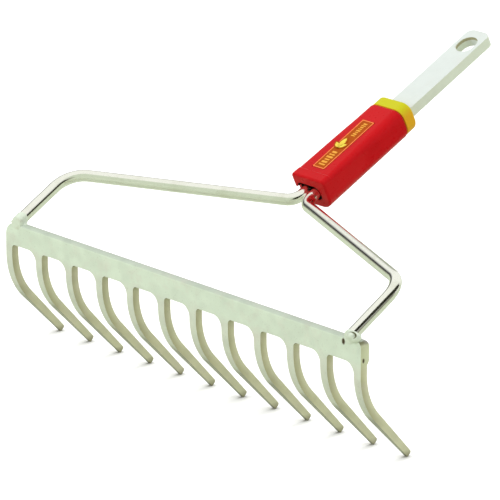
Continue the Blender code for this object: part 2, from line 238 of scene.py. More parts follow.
# what the gloss sees of the dome: axis, where it starts and is full along it, tones by height
DOME = (
    ("Y", -0.25, -0.6, ((0.0, GREEN), (0.66, GREEN), (0.80, PALE))),
    (
        "X",
        -0.5,
        -0.8,
        (
            (0.0, (0.4, 0.42, 0.32)),
            (0.12, (0.12, 0.12, 0.12)),
            (0.22, (0.03, 0.03, 0.03)),
            (0.30, (0.08, 0.08, 0.08)),
            (0.40, (0.6, 0.6, 0.6)),
            (0.47, PALE),
        ),
    ),
    (
        "X",
        0.5,
        0.8,
        ((0.0, (0.28, 0.3, 0.2)), (0.2, (0.2, 0.2, 0.15)), (0.4, (0.4, 0.4, 0.4)), (0.8, PALE)),
    ),
)
# upright cards that only the gloss sees: middle, height, length, tone
CARDS = (
    ((0.24, 0.05, 0.23), 0.18, 0.7, (0.02, 0.02, 0.012)),
    ((0.019, 0.0575, 0.122), 0.085, 0.075, (0.42, 0.43, 0.37)),
)
FLOOR_HALF = 6
FLOOR_GLOSS = (0.50, 0.55, 0.44, 1)
FLOOR_BOUNCE = (0.50, 0.50, 0.40, 1)
FLOOR_SHEET = (0.86, 0.86, 0.86, 1)
FLOOR_GLOW = 0.3
CONTACT_TONE = (0.46, 0.46, 0.42, 1)
CONTACT_REACH = 14 * MM
# soft boxes: name, place, size, power
LIGHTS = (
    ("key", (-0.3, 1.1, 1.7), 0.5, 10.5),
    ("fill", (-1.2, -1.9, 1.1), 1.3, 23),
    ("rim", (1.8, 0.5, 0.5), 0.8, 5.5),
)
LIGHT_AIM = Vector((0, 0, 80)) * MM


# ---------------------------------------------------------------- flat outlines and solids


def arc(centre, radius, start, end, steps=12):
    """Points of a flat arc between two angles in degrees, both ends included."""
    turns = [math.radians(start + (end - start) * step / steps) for step in range(steps + 1)]
    return [(centre[0] + radius * math.cos(t), centre[1] + radius * math.sin(t)) for t in turns]


def rounded_box(half_width, low, high, low_corner, high_corner, steps=12):
    """A flat outline with round corners, anticlockwise from the lower left."""
    right, left = half_width, -half_width
    return (
        arc((left + low_corner, low + low_corner), low_corner, 180, 270, steps)
        + arc((right - low_corner, low + low_corner), low_corner, 270, 360, steps)
        + arc((right - high_corner, high - high_corner), high_corner, 0, 90, steps)
        + arc((left + high_corner, high - high_corner), high_corner, 90, 180, steps)
    )


def mesh_object(name, work):
    """Turn a bmesh into an object of the scene."""
    mesh = bpy.data.meshes.new(name)
    work.to_mesh(mesh)
    work.free()
    item = bpy.data.objects.new(name, mesh)
    bpy.context.scene.collection.objects.link(item)
    return item


def as_mesh(item, name):
    """The evaluated shape of an object, its place included, as a mesh object at the origin."""
    bpy.context.view_layer.update()
    source = item.evaluated_get(bpy.context.evaluated_depsgraph_get())
    mesh = bpy.data.meshes.new_from_object(source)
    place = item.matrix_world.copy()
    bpy.data.objects.remove(item, do_unlink=True)
    work = bmesh.new()
    work.from_mesh(mesh)
    bpy.data.meshes.remove(mesh)
    bmesh.ops.transform(work, matrix=place, verts=work.verts)
    bmesh.ops.remove_doubles(work, verts=work.verts, dist=0.000005)
    return mesh_object(name, work)


def plate(name, outlines, thickness, place):
    """Flat outlines filled and extruded half the thickness to both sides of their plane."""
    curve = bpy.data.curves.new(name, "CURVE")
    curve.dimensions = "2D"
    curve.fill_mode = "BOTH"
    curve.extrude = thickness / 2
    for outline in outlines:
        spline = curve.splines.new("POLY")
        spline.points.add(len(outline) - 1)
        for point, (across, along) in zip(spline.points, outline):
            point.co = (across, along, 0, 1)
        spline.use_cyclic_u = True
    item = bpy.data.objects.new(name, curve)
    item.matrix_world = place
    bpy.context.scene.collection.objects.link(item)
    return as_mesh(item, name)


def tube(name, points, radius):
    """A round bar along a path, with flat ends."""
    curve = bpy.data.curves.new(name, "CURVE")
    curve.dimensions = "3D"
    curve.bevel_depth = radius
    curve.bevel_resolution = 14
    curve.use_fill_caps = True
    spline = curve.splines.new("POLY")
    spline.points.add(len(points) - 1)
    for point, place in zip(spline.points, points):
        point.co = (*place, 1)
    item = bpy.data.objects.new(name, curve)
    bpy.context.scene.collection.objects.link(item)
    return as_mesh(item, name)


def block(name, centre, size, place):
    work = bmesh.new()
    shape = place @ Matrix.Translation(centre) @ Matrix.Diagonal((*size, 1))
    bmesh.ops.create_cube(work, size=1, matrix=shape)
    return mesh_object(name, work)


def add_ball(work, place, half_size):
    shape = Matrix.Translation(place) @ Matrix.Diagonal((*half_size, 1))
    bmesh.ops.create_uvsphere(work, u_segments=28, v_segments=18, radius=1, matrix=shape)


def ball(name, place, half_size):
    work = bmesh.new()
    add_ball(work, place, half_size)
    return mesh_object(name, work)


def loft(name, rings, place):
    """A solid through rings of equally many points, with flat ends."""
    work = bmesh.new()
    rows = [[work.verts.new(place @ Vector(point)) for point in ring] for ring in rings]
    for near, far in zip(rows, rows[1:]):
        for index in range(len(near)):
            after = (index + 1) % len(near)
            work.faces.new((near[index], near[after], far[after], far[index]))
    work.faces.new(rows[0])
    work.faces.new(rows[-1])
    bmesh.ops.recalc_face_normals(work, faces=work.faces)
    return mesh_object(name, work)


def combine(item, operation, *others):
    """Apply a solid operation with each of the other objects, which are then removed."""
    for other in others:
        step = item.modifiers.new(operation.lower(), "BOOLEAN")
        step.operation = operation
        step.solver = "EXACT"
        step.object = other
    result = as_mesh(item, item.name)
    for other in others:
        bpy.data.objects.remove(other, do_unlink=True)
    return result


def soften(item, width, segments=3, angle=40):
    """Round the sharp edges and keep the flat faces flat in the shading."""
    edges = item.modifiers.new("edges", "BEVEL")
    edges.width = width
    edges.segments = segments
    edges.limit_method = "ANGLE"
    edges.angle_limit = math.radians(angle)
    edges.use_clamp_overlap = True
    item.data.shade_smooth()
    normals = item.modifiers.new("normals", "WEIGHTED_NORMAL")
    normals.weight = 80
    return item


def install(item, name, shader, slot, *nodes):
    """Name a finished piece, give it its material, and let it stand for its CAD nodes."""
    item.name = name
    item.data.materials.clear()
    item.data.materials.append(shader)
    if nodes:
        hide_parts(*nodes)
    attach(item, "root")


# ---------------------------------------------------------------- the handle's axis


def axis_place():
    """Local X across, Y along the handle's axis, Z above it, from the middle of the sleeve."""
    end = next(mount for mount in frame["record"]["mounts"] if mount["name"] == "tang_end")
    along = Vector(end["axis"])
    middle = Vector(end["pos_m"]) - TANG_END * along
    return Matrix.Translation(middle) @ Matrix.Rotation(math.atan2(along.z, along.y), 4, "X")


AXIS = axis_place()
# turns of a flat outline: its own Y along Z, or its own X along Y and its own Y along Z
UPRIGHT = Matrix.Rotation(math.radians(90), 4, "X")
SIDEWAYS = Matrix(((0, 0, 1, 0), (1, 0, 0, 0), (0, 1, 0, 0), (0, 0, 0, 1)))


def on_axis(across, along=0.0, up=0.0):
    """A point given on the handle's axis, in the comb's own coordinates."""
    return TO_COMB.inverted() @ AXIS @ Vector((across, along, up))


def section_place(along):
    """A flat outline's own X across and Y above the handle's axis, its normal along the axis."""
    return AXIS @ Matrix.Translation((0, along, 0)) @ UPRIGHT


# ---------------------------------------------------------------- comb


def tine_centre(index):
    return (index - (TINE_COUNT - 1) / 2) * TINE_PITCH


def comb_front():
    """The comb seen from the front: bar with round ends, tines that taper below their bend."""
    taper = (TINE_WIDTH - TINE_TIP_WIDTH) / 2 * (TINE_BEND_END + OVERRUN) / TINE_BEND_END
    outline = []
    for index in range(TINE_COUNT):
        left = tine_centre(index) - TINE_WIDTH / 2
        right = left + TINE_WIDTH
        outline += [(left, TINE_BEND_END), (left + taper, -OVERRUN)]
        outline += [(right - taper, -OVERRUN), (right, TINE_BEND_END)]
        if index < TINE_COUNT - 1:
            following = right + TINE_PITCH - TINE_WIDTH
            near, far = NEAR_GAP_CORNER, FAR_GAP_CORNER
            outline += arc((right + near, BAR_BOTTOM - near), near, 180, 90)
            outline += arc((following - far, BAR_BOTTOM - far), far, 90, 0)
    # between its round ends the outline stands above the bar, whose side outline sets the top
    left, right = LEFT_BAR_CORNER - COMB_HALF, COMB_HALF - RIGHT_BAR_CORNER
    outline += arc((right, BAR_TOP - RIGHT_BAR_CORNER), RIGHT_BAR_CORNER, 0, 90)
    outline += [(right, BAR_TOP + OVERRUN), (left, BAR_TOP + OVERRUN)]
    outline += arc((left, BAR_TOP - LEFT_BAR_CORNER), LEFT_BAR_CORNER, 90, 180)
    return outline


def comb_side():
    """The comb seen from the side: upright bar, tines that bend back to a blunt tip."""
    tip_rise = TINE_TIP_THICKNESS / 2 * math.sin(TINE_SLOPE)
    straight = (TINE_BEND_END - tip_rise) / math.cos(TINE_SLOPE)
    bend = TINE_BEND_RADIUS * TINE_SLOPE
    stations = [bend * step / 20 for step in range(21)] + [bend + straight]
    front, rear = [], []
    for run in stations:
        angle = min(run / TINE_BEND_RADIUS, TINE_SLOPE)
        extra = max(run - bend, 0)
        y = TINE_THICKNESS / 2 + TINE_BEND_RADIUS * (1 - math.cos(angle)) + extra * math.sin(angle)
        z = TINE_BEND_TOP - TINE_BEND_RADIUS * math.sin(angle) - extra * math.cos(angle)
        half = (TINE_THICKNESS + (TINE_TIP_THICKNESS - TINE_THICKNESS) * extra / straight) / 2
        front.append((y - half * math.cos(angle), z - half * math.sin(angle)))
        rear.append((y + half * math.cos(angle), z + half * math.sin(angle)))
    end_y, end_z = rear.pop()
    centre = (
        end_y - TIP_CORNER * (math.cos(TINE_SLOPE) + math.sin(TINE_SLOPE)),
        end_z - TIP_CORNER * (math.sin(TINE_SLOPE) - math.cos(TINE_SLOPE)),
    )
    tip = arc(centre, TIP_CORNER, -45, 45, 8)
    top = (
        [(TINE_THICKNESS, BAR_BOTTOM - MM), (BAR_THICKNESS - SWELL_LEDGE, BAR_BOTTOM + SWELL_RISE)]
        + [(BAR_THICKNESS, BAR_BOTTOM + SWELL_END)]
        + arc((BAR_THICKNESS - 2 * BAR_EDGE, BAR_TOP - 2 * BAR_EDGE), 2 * BAR_EDGE, 0, 90, 8)
        + arc((BAR_EDGE, BAR_TOP - BAR_EDGE), BAR_EDGE, 90, 180, 8)
    )
    return front + tip + rear[::-1] + top


def make_comb(shader):
    front = plate("comb", [comb_front()], COMB_DEPTH, TO_COMB @ UPRIGHT)
    side = plate("comb_side", [comb_side()], 2.2 * COMB_HALF, TO_COMB @ SIDEWAYS)
    comb = combine(front, "INTERSECT", side)
    pits = [ball("pit", TO_COMB @ place, size) for place, size in PITS]
    comb = combine(comb, "DIFFERENCE", *pits)
    soften(comb, COMB_EDGE)
    install(comb, "stamped_comb", shader, "galvanised_steel", "tine_comb")


# ---------------------------------------------------------------- bow and its welds


def rounded_path(points, radii, steps=28):
    """A path through points whose inner corners are replaced by arcs of the given radii."""
    path = [points[0]]
    for before, corner, after, radius in zip(points, points[1:], points[2:], radii):
        inward = (before - corner).normalized()
        outward = (after - corner).normalized()
        half = inward.angle(outward) / 2
        centre = corner + (inward + outward).normalized() * radius / math.sin(half)
        start = corner + inward * radius / math.tan(half) - centre
        turn = inward.cross(outward)
        for step in range(steps + 1):
            angle = -(math.pi - 2 * half) * step / steps
            path.append(centre + Matrix.Rotation(-angle, 3, -turn) @ start)
    path.append(points[-1])
    return path


def bow_path(side):
    """Centre line of one rod from the bar to its end inside the sleeve."""
    turn = Vector((side, 1, 1))
    path = rounded_path(
        [
            ROD_FOOT * turn,
            ROD_CORNER * turn,
            on_axis(side * ROD_HALF_SPACING, NECK_POINT),
            on_axis(side * ROD_HALF_SPACING, ROD_END),
        ],
        [CORNER_RADIUS, NECK_RADIUS],
    )
    return [TO_COMB @ point for point in path]


def bar_block(margin):
    """The bar's own block, larger by a margin, to keep its neighbours clear of it."""
    centre = Vector((0, BAR_THICKNESS / 2, BAR_TOP - BAR_BLOCK / 2))
    size = Vector((2 * COMB_HALF, BAR_THICKNESS, BAR_BLOCK)) + Vector((2, 2, 2)) * margin
    return block("bar_cut", centre, size, TO_COMB)


def make_rod(side, word, shader):
    rod = combine(tube("rod", bow_path(side), ROD_RADIUS), "DIFFERENCE", bar_block(BAR_CLEARANCE))
    rod.data.shade_smooth()
    rod.data.set_sharp_from_angle(angle=math.radians(45))
    install(rod, word + "_rod", shader, "bright_plated_steel", word + "_bow_rod")


def fuse(item):
    """Melt overlapping solids into one skin."""
    grain = item.modifiers.new("grain", "REMESH")
    grain.mode = "VOXEL"
    grain.voxel_size = WELD_VOXEL
    return as_mesh(item, item.name)


def add_cone(work, side):
    """A cone of metal round the rod, widest on the bar."""
    turn = Vector((side, 1, 1))
    along = ((ROD_CORNER - ROD_FOOT) * turn).normalized()
    for step in range(WELD_SPREAD[side][2]):
        place = ROD_FOOT * turn + along * (step * CONE_STEP + CONE_START)
        size = ROD_RADIUS + CONE_EXCESS - CONE_LOSS * step
        add_ball(work, TO_COMB @ place, Vector((size, size, size)))


def add_flare(work, side):
    """The flare from the bar's top up to the rod, drawn out along the bar."""
    outward, spread, _, rise = WELD_SPREAD[side]
    near, far = FLARE_DEPTH
    thin, thick = FLARE_HALF_DEPTH
    for step in range(FLARE_STEPS + 1):
        share = step / FLARE_STEPS
        across = side * (ROD_FOOT.x / MM + outward * (1 - share))
        place = Vector((across, near + (far - near) * share, FLARE_FOOT + rise * share)) * MM
        half_width = spread + (FLARE_END_WIDTH - spread) * share**FLARE_TAPER
        half_height = FLARE_HALF_HEIGHT + FLARE_SWELL * rise * share
        size = Vector((half_width, thin + (thick - thin) * share, half_height)) * MM
        add_ball(work, TO_COMB @ place, size)


def make_weld(side, word, shader):
    """Weld metal that flows from a rod's foot over the bar's top, with a bead on the right one."""
    work = bmesh.new()
    add_cone(work, side)
    add_flare(work, side)
    weld = fuse(mesh_object("weld", work))
    # what runs over the bar's front lies thinly on it
    front = TO_COMB.translation.y
    for vertex in weld.data.vertices:
        vertex.co.y = max(vertex.co.y, front + PRESSED * (vertex.co.y - front))
    if side == 1:
        bead = ball("bead", TO_COMB @ BEAD_CENTRE, BEAD_HALF)
        crater = ball("crater", TO_COMB @ CRATER_CENTRE, CRATER_HALF)
        drop = ball("drop", TO_COMB @ DROP_CENTRE, DROP_HALF)
        weld = combine(combine(combine(weld, "UNION", bead), "DIFFERENCE", crater), "UNION", drop)
    weld = fuse(weld)
    relax = weld.modifiers.new("relax", "SMOOTH")
    relax.factor = 0.6
    relax.iterations = WELD_SMOOTHING[side]
    weld.data.shade_smooth()
    install(weld, word + "_weld", shader, "weld_metal", word + "_weld_bead")


# ---------------------------------------------------------------- handle end


def top_corner(along):
    """Radius of the sleeve's top corners at a place along the axis."""
    for (near, first), (far, second) in zip(TOP_CORNERS, TOP_CORNERS[1:]):
        if along <= far * MM:
            share = (along / MM - near) / (far - near)
            return (first + (second - first) * share) * MM
    return TOP_CORNERS[-1][1] * MM


def smooth_step(share):
    share = min(max(share, 0), 1)
    return share * share * (3 - 2 * share)


def rounded_start(place, radius, steps):
    """Places along the axis and insets of an outline that swells out of a round front edge."""
    turns = [math.pi / 2 * step / steps for step in range(steps + 1)]
    return [(place + radius * (1 - math.cos(t)), radius * (1 - math.sin(t))) for t in turns]


def rounded_end(place, radius, steps):
    """Places along the axis and insets of an outline that closes over a round rear edge."""
    turns = [math.pi / 2 * step / steps for step in range(steps + 1)]
    return [(place - radius * (1 - math.sin(t)), radius * (1 - math.cos(t))) for t in turns]


def sleeve_stations(edge_steps=8, body_steps=24):
    """Places along the sleeve with the inset of its outline there and the rise of its lip."""
    lip = rounded_start(-SLEEVE_FRONT, END_ROUND, edge_steps)
    stations = [(along, inset, LIP_RISE) for along, inset in lip]
    for step in range(edge_steps + 1):
        share = step / edge_steps
        rise = LIP_RISE * (1 - smooth_step(share))
        stations.append((LIP_END + (share - 0.5) * LIP_STEP, 0, rise))
    start, end = LIP_END + LIP_STEP, SLEEVE_REAR - END_ROUND
    stations += [(start + (end - start) * step / body_steps, 0, 0) for step in range(body_steps)]
    rear = rounded_end(SLEEVE_REAR, END_ROUND, edge_steps)
    stations += [(along, inset, 0) for along, inset in rear]
    return stations


def sleeve_ring(along, inset, rise, width=SLEEVE_WIDTH, top=SLEEVE_TOP, bottom=SLEEVE_BOTTOM):
    """One section of the sleeve or the collar, in the axis frame."""
    low_corner, high_corner = BOTTOM_CORNER - inset, top_corner(along) - inset
    outline = rounded_box(width - inset, inset - bottom, top + rise - inset, low_corner, high_corner)
    return [(across, along, up) for across, up in outline]


def tang_bore(start, end):
    """Room for the tang between two places along the axis."""
    size = Vector((TANG_WIDTH, end - start, TANG_THICKNESS)) + 2 * BORE_GAP * Vector((1, 0, 1))
    return block("tang_bore", Vector((0, (start + end) / 2, 0)), size, AXIS)


def mouth_outline(inset):
    """The mouth's outline seen along the axis, or one inside it."""
    left, right, bottom, top = MOUTH
    middle = (left + right) / 2 * MM
    half_width = (right - left) / 2 * MM - inset
    corner = MOUTH_CORNER - inset
    outline = rounded_box(half_width, bottom * MM + inset, top * MM - inset, corner, corner)
    return [(across + middle, up) for across, up in outline]


def wall_notch():
    """What is cut out of the left wall beside the mouth."""
    outline = rounded_box(NOTCH_DEPTH, NOTCH_LOW, NOTCH_HIGH, NOTCH_CORNER, NOTCH_CORNER)
    outline = [(along - SLEEVE_FRONT, up) for along, up in outline]
    place = AXIS @ Matrix.Translation((-SLEEVE_WIDTH, 0, 0)) @ SIDEWAYS
    return plate("notch", [outline], SLEEVE_WIDTH, place)


def make_sleeve(shader):
    rings = [sleeve_ring(*station) for station in sleeve_stations()]
    sleeve = loft("sleeve", rings, AXIS)
    mouth = plate("mouth", [mouth_outline(0)], 2 * MOUTH_DEPTH, section_place(-SLEEVE_FRONT))
    space = ROD_RADIUS + BORE_GAP
    corner = NEARLY_ROUND * space
    outline = rounded_box(ROD_HALF_SPACING + space, -space, space, corner, corner)
    rods = plate("rods", [outline], 2 * (SLEEVE_FRONT + ROD_END), section_place(-SLEEVE_FRONT))
    room = block("weld_room", Vector((0, ROD_END, 0)), WELD_ROOM, AXIS)
    pocket_size = 2 * Vector((LABEL_HALF.x + BORE_GAP, LABEL_HALF.y + BORE_GAP, LABEL_THICKNESS))
    pocket = block("pocket", Vector((0, LABEL_CENTRE, SLEEVE_TOP)), pocket_size, AXIS)
    tang = tang_bore(ROD_END, SLEEVE_REAR + MM)
    sleeve = combine(sleeve, "DIFFERENCE", mouth, wall_notch(), rods, room, pocket, tang)
    soften(sleeve, PLASTIC_EDGE)
    install(sleeve, "handle_sleeve", shader, "red_plastic", "sleeve")


def make_mouth_shade(shader):
    """A dark sheet on the wall inside the mouth: painted shade."""
    outer, inner = mouth_outline(LINING_GAP), mouth_outline(LINING)
    start, end = -SLEEVE_FRONT + LINING_START, -SLEEVE_FRONT + MOUTH_DEPTH - LINING_END_GAP
    lining = plate("lining", [outer, inner], end - start, section_place((start + end) / 2))
    lining = combine(lining, "DIFFERENCE", wall_notch())
    lining.data.shade_smooth()
    lining.data.set_sharp_from_angle(angle=math.radians(40))
    install(lining, "mouth_shade_sheet", shader, "red_plastic")


def make_collar(shader):
    start = SLEEVE_REAR + BORE_GAP
    end = start + COLLAR_LENGTH
    stations = rounded_start(start, COLLAR_FRONT_EDGE, 4) + rounded_end(end, COLLAR_ROUND, 10)
    top, bottom = SLEEVE_TOP - COLLAR_STEP, SLEEVE_BOTTOM - COLLAR_STEP
    rings = [sleeve_ring(*station, 0, COLLAR_WIDTH, top, bottom) for station in stations]
    collar = loft("collar", rings, AXIS)
    collar = combine(collar, "DIFFERENCE", tang_bore(start - MM, end + MM))
    soften(collar, PLASTIC_EDGE)
    install(collar, "end_collar", shader, "yellow_plastic", "collar")


def make_tang(shader):
    half = TANG_WIDTH / 2
    base = ROD_END + BORE_GAP
    outline = (
        [(-half, base), (half, base)]
        + arc((half - TANG_CORNER, TANG_END - TANG_CORNER), TANG_CORNER, 0, 90, 16)
        + arc((TANG_CORNER - half, TANG_END - TANG_CORNER), TANG_CORNER, 90, 180, 16)
    )
    radius = SLOT_WIDTH / 2
    reach = (SLOT_LENGTH - SLOT_WIDTH) / 2
    slot = arc((0, SLOT_CENTRE + reach), radius, 0, 180, 28)
    slot += arc((0, SLOT_CENTRE - reach), radius, 180, 360, 28)
    tang = plate("tang", [outline, slot], TANG_THICKNESS, AXIS)
    soften(tang, TANG_EDGE)
    install(tang, "flat_tang", shader, "zinc_plated_tang", "tang")


# ---------------------------------------------------------------- label


def print_place(level):
    """The plane of one layer of print above the label's plate."""
    height = SLEEVE_TOP + LABEL_RISE + (level + 0.5) * PRINT_THICKNESS
    return AXIS @ Matrix.Translation((0, LABEL_CENTRE, height))


def leaf(base, half_length, half_width, lean, margin=0.0):
    """A plain pointed leaf that grows from its base, leaning by an angle in degrees."""
    steps = 16
    edge = [math.pi * step / steps for step in range(steps + 1)]
    reach = half_length + 1.6 * margin
    one = [
        ((half_width + margin) * math.sin(t) ** 1.7, half_length - reach * math.cos(t)) for t in edge
    ]
    other = [(-across, along) for across, along in one[-2:0:-1]]
    turn = Matrix.Rotation(math.radians(lean), 2)
    return [tuple(turn @ Vector(point) + base) for point in one + other]


def strokes(start, count, pitch, half_height):
    """A row of short strokes across the label, a plain pattern and no lettering."""
    outlines = []
    for index in range(count):
        middle = start + index * pitch
        half = (0.24 + 0.1 * (index % 2)) * pitch
        reach = half_height * (1 - 0.12 * (index % 3))
        low, high = middle - half, middle + half
        outlines.append([(-reach, low), (reach, low), (reach, high), (-reach, high)])
    return outlines


def make_label(field, border, ink, pale_ink):
    wide, long = LABEL_HALF
    height = SLEEVE_TOP + LABEL_RISE - LABEL_THICKNESS / 2
    body = AXIS @ Matrix.Translation((0, LABEL_CENTRE, height))
    outer = rounded_box(wide, -long, long, LABEL_CORNER, LABEL_CORNER, 6)
    label = plate("label", [outer], LABEL_THICKNESS, body)
    label.data.shade_smooth()
    label.data.set_sharp_from_angle(angle=math.radians(35))
    install(label, "label_plate", field, "label_print", "label_inlay")
    inset = LABEL_BORDER
    inner = rounded_box(wide - inset, inset - long, long - inset, FRAME_CORNER, FRAME_CORNER, 6)
    edge_line = plate("edge_line", [outer, inner], PRINT_THICKNESS, print_place(0))
    install(edge_line, "label_frame", border, "label_print")
    outlines = [outline for row in STROKES for outline in strokes(*row)]
    marks = plate("marks", outlines, PRINT_THICKNESS, print_place(0))
    install(marks, "label_marks", ink, "label_print")
    for name, half_length, half_width, lean in LEAVES:
        under = leaf(LEAF_BASE, half_length, half_width, lean, LEAF_MARGIN)
        under = plate("under", [under], PRINT_THICKNESS, print_place(1))
        install(under, name + "_shade", field, "label_print")
        over = leaf(LEAF_BASE, half_length, half_width, lean)
        over = plate("over", [over], PRINT_THICKNESS, print_place(2))
        install(over, name + "_print", pale_ink, "label_print")


# ---------------------------------------------------------------- materials


def add_node(tree, kind, inputs=None, **settings):
    """Add a shader node, set its options, and set or link its inputs."""
    item = tree.nodes.new(kind)
    for key, value in settings.items():
        setattr(item, key, value)
    for key, value in (inputs or {}).items():
        if isinstance(value, bpy.types.NodeSocket):
            tree.links.new(value, item.inputs[key])
        else:
            item.inputs[key].default_value = value
    return item


def new_material(name, roughness, metallic, **sockets):
    """A Principled material, its tree, its shader and the object coordinates of its surface."""
    shader = bpy.data.materials.new(name)
    shader.use_nodes = True
    tree = shader.node_tree
    surface = tree.nodes["Principled BSDF"]
    surface.inputs["Roughness"].default_value = roughness
    surface.inputs["Metallic"].default_value = metallic
    for key, value in sockets.items():
        surface.inputs[key.replace("_", " ")].default_value = value
    place = tree.nodes.new("ShaderNodeTexCoord")
    return shader, tree, surface, place


def product(tree, first, second):
    return add_node(tree, "ShaderNodeMath", {0: first, 1: second}, operation="MULTIPLY").outputs[0]


def coordinate(tree, place, axis, kind="Object"):
    """One coordinate of the surface, or of its normal."""
    return add_node(tree, "ShaderNodeSeparateXYZ", {"Vector": place.outputs[kind]}).outputs[axis]


def noise(tree, place, scale, detail=3.0, roughness=0.5):
    where = place.outputs["Object"]
    inputs = {"Vector": where, "Scale": scale, "Detail": detail, "Roughness": roughness}
    return add_node(tree, "ShaderNodeTexNoise", inputs).outputs["Fac"]


def span(tree, value, low, high, from_low=0.3, from_high=0.7):
    """Map a value to another range."""
    inputs = {"Value": value, "From Min": from_low, "From Max": from_high}
    inputs |= {"To Min": low, "To Max": high}
    return add_node(tree, "ShaderNodeMapRange", inputs).outputs["Result"]


def mix(tree, share, first, second, blend_type="MIX"):
    item = add_node(tree, "ShaderNodeMix", data_type="RGBA", blend_type=blend_type)
    for index, value in ((0, share), (6, first), (7, second)):
        if isinstance(value, bpy.types.NodeSocket):
            tree.links.new(value, item.inputs[index])
        else:
            item.inputs[index].default_value = value
    return item.outputs[2]


def ramp(tree, value, stops):
    """A colour ramp through (place, colour) stops."""
    item = add_node(tree, "ShaderNodeValToRGB", {"Fac": value})
    elements = item.color_ramp.elements
    while len(elements) < len(stops):
        elements.new(0.5)
    for element, (place, colour) in zip(elements, stops):
        element.position = place
        element.color = (*colour, 1)
    return item.outputs["Color"]


def bump(tree, surface, height, strength, distance):
    inputs = {"Height": height, "Strength": strength, "Distance": distance}
    item = add_node(tree, "ShaderNodeBump", inputs)
    tree.links.new(item.outputs["Normal"], surface.inputs["Normal"])


def facing(tree, place):
    """How far the surface faces sideways along X, and how far up along Z."""
    across = coordinate(tree, place, "X", "Normal")
    side = add_node(tree, "ShaderNodeMath", {0: across}, operation="ABSOLUTE").outputs[0]
    return side, coordinate(tree, place, "Z", "Normal")


def reach_from(tree, place, centre, half_size):
    """Distance from a ball's centre, as a share of its half size."""
    inputs = {0: place.outputs["Object"], 1: centre}
    offset = add_node(tree, "ShaderNodeVectorMath", inputs, operation="SUBTRACT").outputs[0]
    inputs = {0: offset, 1: half_size}
    share = add_node(tree, "ShaderNodeVectorMath", inputs, operation="DIVIDE").outputs[0]
    return add_node(tree, "ShaderNodeVectorMath", {0: share}, operation="LENGTH").outputs["Value"]


def rust_and_shade_spots(tree, place, colour, spots, home, spot_tone):
    """Rust and painted shade in and around balls, each by its centre in a home frame and half size."""
    for centre, size in spots:
        stain_and_shade = span(tree, reach_from(tree, place, home @ centre, size), 1.0, 0.0, 0.85, 1.5)
        colour = mix(tree, stain_and_shade, colour, (*spot_tone, 1))
    return colour


def slot_shade_spots():
    """Balls of painted shade under the slot's upper rim, from its far right round to its near left."""
    spots = []
    for turn in range(50, 211, 16):
        angle = math.radians(turn)
        across = SLOT_WIDTH / 2 * math.cos(angle)
        along = SLOT_CENTRE + SLOT_LENGTH / 2 * math.sin(angle)
        spots.append((Vector((across, along, SLOT_SHADE_LEVEL)), SLOT_SHADE_HALF))
    return spots


def tine_tones(tree, place, up, colour):
    """Tines duller than the bar, with painted shade on the straight part's underside and at the tips.
    """
    height = coordinate(tree, place, "Z")
    tine = span(tree, height, 1.0, 0.0, *DULL_TINE)
    colour = mix(tree, tine, colour, (*TINE_TINT, 1), "MULTIPLY")
    # painted shade: the straight part's downward faces get less light from above
    under = span(tree, up, 0.5, 0.0, -0.68, -0.58)
    colour = mix(tree, under, colour, (*UNDERSIDE_SHADE_TONE, 1))
    # painted shade, dark brown, within a few millimetres of where the tips meet the floor
    tip = span(tree, height, 0.75, 0.0, *SHADED_TIP)
    return mix(tree, tip, colour, (*TIP_SHADE_TONE, 1))


def crater_shade(tree, place, colour):
    """Painted shade in the crater, in a crescent round the last drop of metal."""
    crater = reach_from(tree, place, TO_COMB @ CRATER_CENTRE, CRATER_HALF)
    drop = reach_from(tree, place, TO_COMB @ DROP_CENTRE, DROP_HALF)
    inside = span(tree, crater, 1.0, 0.0, 1.08, 1.25)
    outside = span(tree, drop, 0.0, 1.0, 1.04, 1.16)
    return mix(tree, product(tree, inside, outside), colour, (*CRATER_SHADE_TONE, 1))


def front_edge_darkening(tree, place):
    """1 along the front edge of the tines' bend, less on the bar, 0 at the rear edge and lower down."""
    middle = TO_COMB @ Vector((0, TINE_THICKNESS / 2 + TINE_BEND_RADIUS, TINE_BEND_TOP))
    inputs = {0: place.outputs["Object"], 1: (0, 1, 1)}
    flat = add_node(tree, "ShaderNodeVectorMath", inputs, operation="MULTIPLY").outputs[0]
    inputs = {0: flat, 1: middle}
    reach = add_node(tree, "ShaderNodeVectorMath", inputs, operation="DISTANCE").outputs["Value"]
    outer = TINE_BEND_RADIUS + TINE_THICKNESS / 2
    near = span(tree, reach, 0.0, 1.0, outer - 0.8 * TINE_THICKNESS, outer)
    height = coordinate(tree, place, "Z")
    below = span(tree, height, 0.0, 1.0, *DARKENING_START)
    above = span(tree, height, 1.0, 0.35, *DARKENING_FADE)
    return product(tree, product(tree, near, below), above)


def rear_share(tree, place, up):
    """0.8 on the rear half of the bar's top, where shade is painted, 0 elsewhere."""
    front = TO_COMB.translation.y
    start, full = SHADED_REAR_TOP
    rear = span(tree, coordinate(tree, place, "Y"), 0.0, 1.0, front + start, front + full)
    return product(tree, rear, span(tree, up, 0.0, 0.8, 0.3, 0.7))


